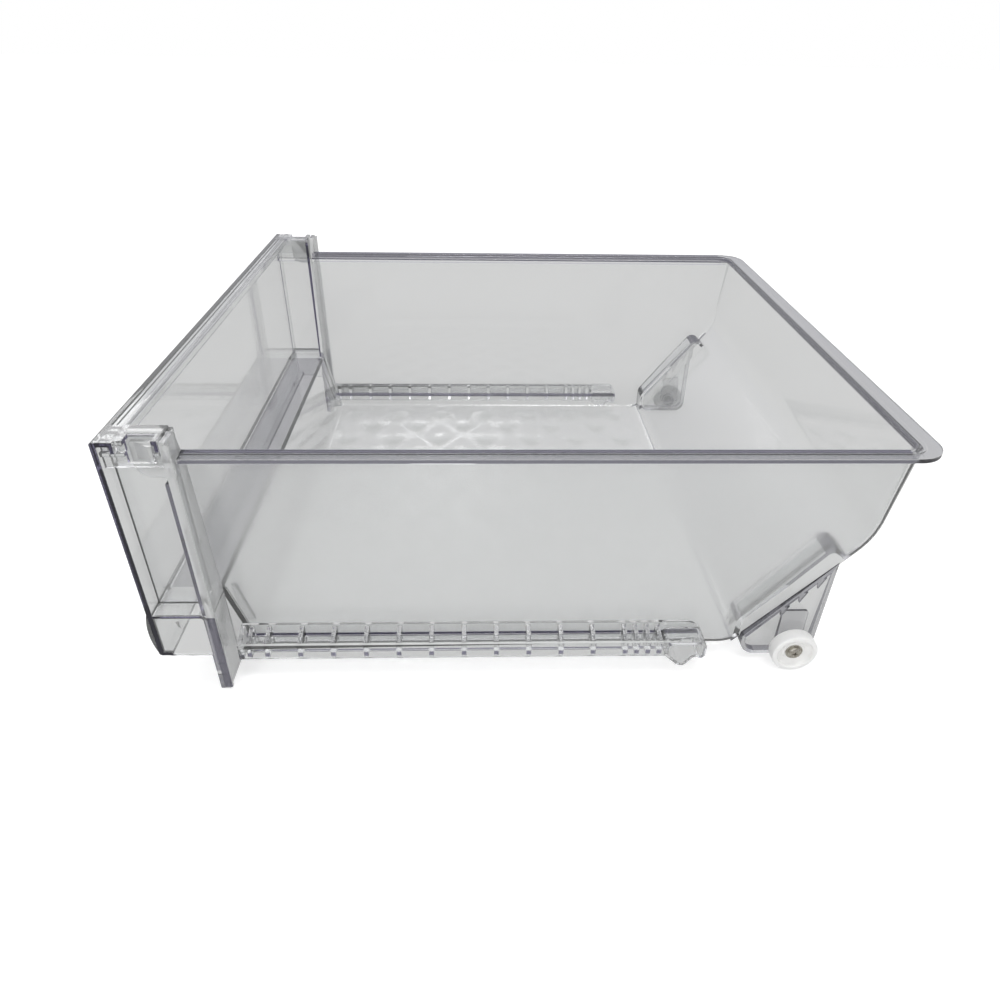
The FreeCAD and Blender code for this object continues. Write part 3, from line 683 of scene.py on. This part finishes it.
def on_gusset(face):
    """True on the outer faces of the gussets, along the slope."""
    return on_bracket_face(face) and face.center.z > GUSSET_FOOT


def on_shelf(face):
    """True on the level top of the cover's shelf."""
    level = face.normal.z > LEVEL
    return level and face.area > SHELF_AREA and face.center.z < SHELF_LIMIT


def on_rib_top(face):
    """True on the sloping tops of a runner's ribs."""
    return LEVEL > face.normal.z > RIB_SLOPE and outward(face) > RIB_LEAN


def on_flange_top(face):
    """True on the top of a runner's outer flange."""
    return face.normal.z > FLANGE_SLOPE and abs(face.center.x) > RUNNER_FLANGE_X


def on_tub_floor(face):
    """True on the large level face inside the tub."""
    level = face.normal.z > LEVEL
    return level and face.area > FLOOR_AREA and face.center.z < FLOOR_LIMIT


def quilt(piece, sizes):
    """Cuts the tub's inner floor along two families of diagonals and raises its pillows."""
    pick_faces(piece, on_tub_floor)
    chosen = [face for face in piece.data.polygons if face.select]
    if len(chosen) != 1:
        raise RuntimeError("the tub's floor wasn't found")
    corners = [piece.data.vertices[i].co.copy() for i in chosen[0].vertices]
    level = corners[0].z
    x_end = max(corner.x for corner in corners)
    y_low = min(corner.y for corner in corners)
    y_high = max(corner.y for corner in corners)
    across = sizes.pitch_across
    deep = sizes.pitch_deep
    reach = int((x_end / across + (y_high - y_low) / deep) * QUILT_CUTS) + 1
    bpy.ops.object.mode_set(mode="EDIT")
    bpy.ops.mesh.hide(unselected=True)
    for slant in (1.0, -1.0):
        for k in range(-reach, reach + 1):
            point = (0.0, k * deep / QUILT_CUTS, level)
            select_all()
            bpy.ops.mesh.bisect(plane_co=point, plane_no=(slant / across, 1.0 / deep, 0.0))
    bpy.ops.mesh.reveal(select=False)
    bpy.ops.object.mode_set(mode="OBJECT")
    for vertex in piece.data.vertices:
        place = vertex.co
        inside = min(x_end - abs(place.x), place.y - y_low, y_high - place.y)
        if abs(place.z - level) > CLEARANCE or inside <= 0.0:
            continue
        fade = min(inside / sizes.border, 1.0)
        u = place.y / deep
        v = place.x / across
        pillow = abs(math.sin(math.pi * (u + v)) * math.sin(math.pi * (u - v)))
        place.z += sizes.relief * fade * pillow


def finish_piece(piece, body, nodes, material):
    """Gives a piece its material and smooth faces and ties it to the frame."""
    piece.data.materials.clear()
    piece.data.materials.append(material)
    only(piece)
    bpy.ops.object.shade_smooth_by_angle(angle=SMOOTH_ANGLE)
    flats = piece.modifiers.new("flats", "WEIGHTED_NORMAL")
    flats.mode = "FACE_AREA"
    flats.weight = FLAT_WEIGHT
    flats.keep_sharp = True
    apply_modifier(piece, flats)
    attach(piece, body)
    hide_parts(*nodes)


def blank(name, radius, x_low, x_high, centre, sides=96):
    """Round bar along X that the turned pieces are worked from."""
    bpy.ops.object.select_all(action="DESELECT")
    bpy.ops.mesh.primitive_cylinder_add(
        vertices=sides, radius=radius, depth=x_high - x_low,
        location=((x_low + x_high) / 2.0, centre[1], centre[2]),
        rotation=(0.0, math.radians(90.0), 0.0))
    piece = bpy.context.object
    rename(piece, name)
    bpy.ops.object.transform_apply(location=True, rotation=True, scale=True)
    return piece


def centre_and_radius(low, high):
    """Middle of a round piece's box, and its radius about X."""
    centre = [(low[i] + high[i]) / 2.0 for i in range(3)]
    return centre, (high[2] - low[2]) / 2.0


def end_face(piece, sign):
    """Number of the newest round flat of a turned piece that faces +X or -X."""
    return max(face.index for face in piece.data.polygons
               if len(face.vertices) > 4 and face.normal.x * sign > LEVEL)


def turn_end(piece, sign, steps):
    """Works one end inwards by (inset, rise) steps in millimetres, as on a lathe."""
    target = end_face(piece, sign)
    pick_faces(piece, lambda face: face.index == target)
    bpy.ops.object.mode_set(mode="EDIT")
    for inset, rise in steps:
        bpy.ops.mesh.inset(thickness=inset * MM, depth=rise * MM)
    bpy.ops.object.mode_set(mode="OBJECT")


def bore(piece):
    """Opens a turned piece from one end flat to the other."""
    ends = (end_face(piece, 1.0), end_face(piece, -1.0))
    pick_faces(piece, lambda face: face.index in ends)
    in_edit(lambda: bpy.ops.mesh.bridge_edge_loops())


def mirrored_copy(piece, name):
    """The same piece for the left-hand side, with a mesh of its own."""
    other = bpy.data.objects.new(name, piece.data.copy())
    other.data.name = name
    bpy.context.scene.collection.objects.link(other)
    only(other)
    in_edit(
        select_all,
        lambda: bpy.ops.transform.resize(value=(-1.0, 1.0, 1.0), center_override=(0, 0, 0)),
        lambda: bpy.ops.mesh.normals_make_consistent(inside=False),
    )
    return other


def make_roller():
    """Roller with a rounded tread, a dished outer face and a relieved inner face."""
    low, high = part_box("right_roller")
    centre, radius = centre_and_radius(low, high)
    inner_rounding = 0.5 * MM
    outer_rounding = 1.0 * MM
    piece = blank("right_roller_turned", radius, low[0] + inner_rounding,
                  high[0] - outer_rounding, centre)
    rim = [(0.134, 0.5), (0.366, 0.366), (0.5, 0.134), (1.35, 0.0)]
    dish = [(0.25, -0.12), (0.15, -0.3), (0.4, -1.5), (0.3, -0.35), (2.6, -1.45), (0.3, -0.3)]
    hub = [(0.2, 0.0), (0.3, 1.27), (2.6, 0.0), (0.3, -0.3)]
    turn_end(piece, 1.0, rim + dish + hub)
    rim = [(0.15, 0.35), (0.35, 0.15), (1.7, 0.0)]
    relief = [(0.3, -0.3), (0.2, -2.6), (3.2, 0.0), (0.3, 2.7)]
    hub = [(0.3, 0.2), (3.05, 0.0), (0.3, -0.3)]
    turn_end(piece, -1.0, rim + relief + hub)
    bore(piece)
    return piece


def make_washer():
    """Plain washer with softly rounded edges."""
    low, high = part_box("right_roller_washer")
    centre, radius = centre_and_radius(low, high)
    rounding = 0.15 * MM
    piece = blank("right_washer_turned", radius, low[0] + rounding, high[0] - rounding, centre)
    for sign in (1.0, -1.0):
        turn_end(piece, sign, [(0.05, 0.1), (0.1, 0.05), (3.1, 0.0), (0.05, -0.05)])
    bore(piece)
    return piece


def make_screw():
    """Pan head screw with a cross recess and a threaded shank."""
    low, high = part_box("right_roller_screw")
    centre, radius = centre_and_radius(low, high)
    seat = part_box("right_roller_washer")[1][0]
    dome = 1.3 * MM
    shank_radius = 1.5 * MM
    point = 1.5 * MM
    into_head = 0.4 * MM
    piece = blank("right_screw_turned", radius, seat, high[0] - dome, centre)
    turn_end(piece, 1.0, [(0.12, 0.4), (0.28, 0.38), (0.5, 0.27), (0.7, 0.16), (0.9, 0.09)])
    cross_recess(piece, centre, high[0])
    shank = blank("screw_shank", shank_radius, low[0] + point, seat + into_head, centre, 48)
    turn_end(shank, -1.0, [(0.6, 0.7), (0.6, 0.8)])
    thread(shank, centre, low[0] + 1.6 * MM, seat - 0.8 * MM)
    combine(piece, shank, "UNION")
    return piece


def cross_recess(piece, centre, top_x):
    """Cuts the cross recess of a screw head with two tapered wedges."""
    height = 3.0 * MM
    length = 4.6 * MM
    width = 0.95 * MM
    taper = 0.35
    for turn in (0.0, 90.0):
        bpy.ops.object.select_all(action="DESELECT")
        bpy.ops.mesh.primitive_cube_add(size=1.0, location=(0.0, 0.0, 0.0))
        wedge = bpy.context.object
        wedge.scale = (height, length, width)
        wedge.rotation_euler = (math.radians(turn), 0.0, 0.0)
        wedge.location = (top_x, centre[1], centre[2])
        bpy.ops.object.transform_apply(location=True, rotation=True, scale=True)
        pick_faces(wedge, lambda face: face.normal.x < -LEVEL)
        in_edit(lambda: bpy.ops.transform.resize(
            value=(1.0, taper, taper), center_override=(top_x, centre[1], centre[2])))
        combine(piece, wedge, "DIFFERENCE")


def thread(shank, centre, x_low, x_high):
    """Rings a shank with the ridges and grooves of its thread."""
    pitch = 0.8 * MM
    root = 0.8
    turns = int((x_high - x_low) / pitch)
    planes = [x_low + i * pitch / 2.0 for i in range(2 * turns)]
    only(shank)
    bpy.ops.object.mode_set(mode="EDIT")
    for x in planes:
        select_all()
        bpy.ops.mesh.bisect(plane_co=(x, 0.0, 0.0), plane_no=(1.0, 0.0, 0.0))
    bpy.ops.object.mode_set(mode="OBJECT")
    grooves = planes[::2]
    for vertex in shank.data.vertices:
        if any(abs(vertex.co.x - x) < CLEARANCE for x in grooves):
            vertex.co.y = centre[1] + (vertex.co.y - centre[1]) * root
            vertex.co.z = centre[2] + (vertex.co.z - centre[2]) * root


class CRISPER_OT_tub(bpy.types.Operator):
    """Adds the tub with its wings and quilted floor"""
    bl_idname = "crisper.tub"
    bl_label = "Tub"

    def execute(self, context):
        plastic = context.scene.crisper_plastic
        nodes = ["tub", "left_wing", "right_wing"]
        piece = moulding("tub_moulding", nodes)
        soften(piece, plastic.soft_edge, above=RIM_FOOT)
        split_faces(piece, (0.0, 0.0, LEG_TOP), (0.0, 0.0, 1.0), on_wing)
        split_faces(piece, (0.0, RIM_BEND_Y, 0.0), (0.0, 1.0, 0.0), on_rim_top)
        # Edge colour where deep plastic stands behind a face: partly the plastic's tint through
        # its depth and partly painted shade.
        mark_depth(piece, clear=4.0 * MM, full=26.0 * MM, narrow=1.0 * MM, most=THICK_TINT_AND_SHADE)
        mark_depth(piece, clear=3.0 * MM, full=8.0 * MM, narrow=0.8 * MM, most=LEG_DEPTH_TINT_AND_SHADE,
                   wanted=on_leg, rank=0.5)
        mark_depth(piece, clear=3.0 * MM, full=12.0 * MM, narrow=0.5 * MM,
                   most=BRACKET_DEPTH_TINT_AND_SHADE, wanted=on_bracket, rank=0.5)
        # Painted shade on the rim's level and upright faces. The rounded edges between them are
        # left unshaded, so they read as lighter lines.
        mark(piece, "depth_tint_and_shade", plastic.rim_shade * RIM_FLANGE_SHARE, on_rim_top)
        mark(piece, "depth_tint_and_shade", plastic.rim_shade, on_rim_ledge)
        mark(piece, "depth_tint_and_shade", plastic.rim_shade * RIM_STRIP_SHARE, on_side_rim)
        mark(piece, "depth_tint_and_shade", plastic.rim_shade, on_side_bead)
        mark(piece, "depth_tint_and_shade", plastic.rim_shade * RIM_SIDE_SHARE, on_rim_side)
        # Painted shade on the wings, the bracket ribs, the bracket's raised faces and the
        # gussets.
        mark(piece, "depth_tint_and_shade", WING_SHADE, on_wing)
        mark(piece, "depth_tint_and_shade", BRACKET_RIB_SHADE, on_bracket_rib)
        mark(piece, "depth_tint_and_shade", BRACKET_SHADE, on_bracket_face)
        mark(piece, "depth_tint_and_shade", GUSSET_SHADE, on_gusset)
        mark(piece, "grain", 1.0, on_side_wall)
        mark(piece, "cloud", WING_CLOUD, on_wing)
        mark(piece, "cloud", CORNER_CLOUD, on_outer_corner)
        quilt(piece, context.scene.crisper_floor)
        material = clear_plastic("tub_plastic", plastic, plastic.haze)
        finish_piece(piece, "drawer", nodes, material)
        return {"FINISHED"}


class CRISPER_OT_cover(bpy.types.Operator):
    """Adds the clear front cover with its ends"""
    bl_idname = "crisper.cover"
    bl_label = "Front cover"

    def execute(self, context):
        plastic = context.scene.crisper_plastic
        nodes = ["front_cover", "left_cover_end", "right_cover_end"]
        piece = moulding("cover_moulding", nodes)
        soften(piece, plastic.soft_edge)
        draw_in(piece)
        split_faces(piece, (0.0, 0.0, LEG_TOP), (0.0, 0.0, 1.0), on_cover_end)
        split_faces(piece, (0.0, LIP_BACK_Y, 0.0), (0.0, 1.0, 0.0), on_cover_edge)
        # Edge colour on deep plastic, partly tint and partly painted shade, painted shade on the
        # shelf, and less of it on the lip's and the flanges' cut ends.
        mark_depth(piece, clear=4.0 * MM, full=12.0 * MM, narrow=1.0 * MM)
        mark(piece, "depth_tint_and_shade", SHELF_SHADE, on_shelf)
        lighten(piece, "depth_tint_and_shade", LIP_TINT_AND_SHADE, on_lip_edge)
        lighten(piece, "depth_tint_and_shade", COVER_FLANGE_TINT_AND_SHADE, on_cover_flange)
        material = clear_plastic("cover_plastic", plastic, plastic.haze)
        finish_piece(piece, "drawer", nodes, material)
        return {"FINISHED"}


class CRISPER_OT_runners(bpy.types.Operator):
    """Adds the ladder-shaped runners"""
    bl_idname = "crisper.runners"
    bl_label = "Runners"

    def execute(self, context):
        plastic = context.scene.crisper_plastic
        haze = plastic.haze * RUNNER_HAZE_SHARE
        # The runner plastic paints a line of shade along the joint of its web and inner flange.
        material = clear_plastic("runner_plastic", plastic, haze, RUNNER_INNER_X)
        for side in ("left", "right"):
            node = side + "_runner"
            piece = moulding(node + "_moulding", [node])
            soften(piece, plastic.soft_edge)
            draw_in(piece)
            # Edge colour on deep plastic, partly tint and partly painted shade, and painted shade
            # on the rib tops.
            mark_depth(piece, clear=7.0 * MM, full=13.0 * MM, narrow=2.0 * MM)
            mark(piece, "depth_tint_and_shade", RUNNER_RIB_SHADE, on_rib_top)
            mark(piece, "cloud", RUNNER_CLOUD, on_flange_top)
            finish_piece(piece, "drawer", [node], material)
        return {"FINISHED"}


class CRISPER_OT_rollers(bpy.types.Operator):
    """Adds the rollers with their washers and screws"""
    bl_idname = "crisper.rollers"
    bl_label = "Rollers and screws"

    def execute(self, context):
        white = white_plastic()
        steel = plated_steel()
        turned = (
            (make_roller(), "roller", "roller_turned", "white_plastic", white),
            (make_washer(), "roller_washer", "washer_turned", "steel", steel),
            (make_screw(), "roller_screw", "screw_turned", "steel", steel),
        )
        for right, node, name, slot, material in turned:
            left = mirrored_copy(right, "left_" + name)
            for side, piece in (("right_", right), ("left_", left)):
                body = side + "roller" if node == "roller" else "drawer"
                finish_piece(piece, body, [side + node], material)
        return {"FINISHED"}


class CRISPER_OT_stage(bpy.types.Operator):
    """Sets up the floor, the light and the camera"""
    bl_idname = "crisper.stage"
    bl_label = "Studio"

    def execute(self, context):
        stage = context.scene.crisper_stage
        self.floor(stage)
        self.world(stage)
        self.lamps()
        self.camera(stage)
        context.scene.view_settings.view_transform = "Standard"
        return {"FINISHED"}

    def floor(self, stage):
        """Plain pale floor, which shows evenly bright behind the plastic."""
        bpy.ops.object.select_all(action="DESELECT")
        bpy.ops.mesh.primitive_plane_add(size=FLOOR_SIZE, location=(0.0, 0.0, 0.0))
        floor = bpy.context.object
        floor.name = "studio_floor"
        board = new_board("studio_floor")
        camera, seen = self.ray_kinds(board)
        lit = board.node("ShaderNodeBsdfDiffuse", inputs={"Color": rgba(stage.floor_colour)})
        glow = board.node("ShaderNodeEmission", inputs={"Strength": camera * stage.floor_glow})
        both = board.node("ShaderNodeAddShader", inputs={0: lit, 1: glow})
        even = board.node("ShaderNodeEmission", inputs={"Strength": stage.floor_seen})
        shown = board.node("ShaderNodeMixShader", inputs={
            0: seen * stage.floor_even, 1: both, 2: even})
        floor.data.materials.append(board.finish(shown))

    def ray_kinds(self, board):
        """Wires that are 1 on camera rays, and on rays reflected by or passed through a piece."""
        camera = board.node("ShaderNodeLightPath", output="Is Camera Ray")
        glossy = board.node("ShaderNodeLightPath", output="Is Glossy Ray")
        passing = board.node("ShaderNodeLightPath", output="Is Transmission Ray")
        return camera, board.math("MAXIMUM", glossy, passing)

    def world(self, stage):
        """White to the camera, soft light on the pieces, and a plain room in the plastic."""
        world = bpy.data.worlds.new("studio_world")
        bpy.context.scene.world = world
        board = Board(world)
        camera, seen = self.ray_kinds(board)
        direction = board.node("ShaderNodeTexCoord", output="Generated")
        height = board.node("ShaderNodeSeparateXYZ", inputs={"Vector": direction}, output="Z")
        upper = board.between(height, HORIZON_TOP, CEILING_FOOT)
        room = board.mix(upper, rgba(stage.horizon), rgba(stage.ceiling))
        colour = board.mix(seen, rgba((1.0, 1.0, 1.0)), room)
        others = 1.0 - camera - seen
        strength = camera + seen * stage.seen_through + others * stage.room_light
        sky = board.node("ShaderNodeBackground", inputs={
            "Color": colour, "Strength": strength})
        board.finish(sky, "ShaderNodeOutputWorld")

    def lamps(self):
        """Two large soft lamps, and two weak ones for the corner block and the far runner."""
        self.area("top_light", (0.25, 0.15, 1.6), (0.0, 0.0, 0.05), 0.6, 9.0)
        self.area("side_light", (1.4, -0.9, 1.1), (0.0, 0.0, 0.05), 0.7, 6.0)
        self.area("corner_light", (-1.41, -1.04, 1.03), (0.17, -0.18, 0.16), 0.2, 0.25)
        self.area("far_light", (-1.21, -0.11, 0.65), (-0.08, -0.05, 0.01), 0.16, 0.2)

    def area(self, name, place, target, side, power):
        """A square lamp that is turned towards a target."""
        data = bpy.data.lights.new(name, "AREA")
        data.shape = "SQUARE"
        data.size = side
        data.energy = power
        lamp = bpy.data.objects.new(name, data)
        lamp.location = place
        aim = Vector(target) - Vector(place)
        lamp.rotation_euler = aim.to_track_quat("-Z", "Y").to_euler()
        bpy.context.scene.collection.objects.link(lamp)

    def camera(self, stage):
        """The camera, from its place and the three angles of its view."""
        ahead = Vector((-math.cos(stage.yaw) * math.cos(stage.pitch),
                        math.sin(stage.yaw) * math.cos(stage.pitch),
                        -math.sin(stage.pitch)))
        level = Vector((math.sin(stage.yaw), math.cos(stage.yaw), 0.0))
        upright = level.cross(ahead)
        right = level * math.cos(stage.roll) + upright * math.sin(stage.roll)
        up = upright * math.cos(stage.roll) - level * math.sin(stage.roll)
        data = bpy.data.cameras.new("camera")
        data.lens = stage.lens
        data.sensor_width = SENSOR_MM
        data.sensor_fit = "HORIZONTAL"
        data.clip_start = NEAREST
        camera = bpy.data.objects.new("camera", data)
        turn = Matrix((right, up, -ahead)).transposed().to_4x4()
        camera.matrix_world = Matrix.Translation(Vector(stage.eye)) @ turn
        bpy.context.scene.collection.objects.link(camera)
        bpy.context.scene.camera = camera


class CRISPER_PT_panel(bpy.types.Panel):
    """Lists the pieces and their sizes"""
    bl_idname = "CRISPER_PT_panel"
    bl_label = "Crisper drawer"
    bl_space_type = "VIEW_3D"
    bl_region_type = "UI"
    bl_category = "Crisper"

    def draw(self, context):
        layout = self.layout
        for group in (context.scene.crisper_plastic, context.scene.crisper_floor,
                      context.scene.crisper_stage):
            box = layout.box()
            for name in group.__annotations__:
                box.prop(group, name)
        for operator in OPERATORS:
            layout.operator(operator.bl_idname)


GROUPS = (PlasticSizes, FloorSizes, StageSizes)
OPERATORS = (CRISPER_OT_tub, CRISPER_OT_cover, CRISPER_OT_runners, CRISPER_OT_rollers,
             CRISPER_OT_stage)


def register():
    """Adds the sizes, the operators and the panel."""
    for item in GROUPS + OPERATORS + (CRISPER_PT_panel,):
        bpy.utils.register_class(item)
    bpy.types.Scene.crisper_plastic = PointerProperty(type=PlasticSizes)
    bpy.types.Scene.crisper_floor = PointerProperty(type=FloorSizes)
    bpy.types.Scene.crisper_stage = PointerProperty(type=StageSizes)


def unregister():
    """Removes what register added."""
    del bpy.types.Scene.crisper_stage
    del bpy.types.Scene.crisper_floor
    del bpy.types.Scene.crisper_plastic
    for item in reversed(GROUPS + OPERATORS + (CRISPER_PT_panel,)):
        bpy.utils.unregister_class(item)


def main():
    """Builds every piece and the studio."""
    register()
    bpy.ops.crisper.tub()
    bpy.ops.crisper.cover()
    bpy.ops.crisper.runners()
    bpy.ops.crisper.rollers()
    bpy.ops.crisper.stage()


if __name__ == "__main__":
    main()
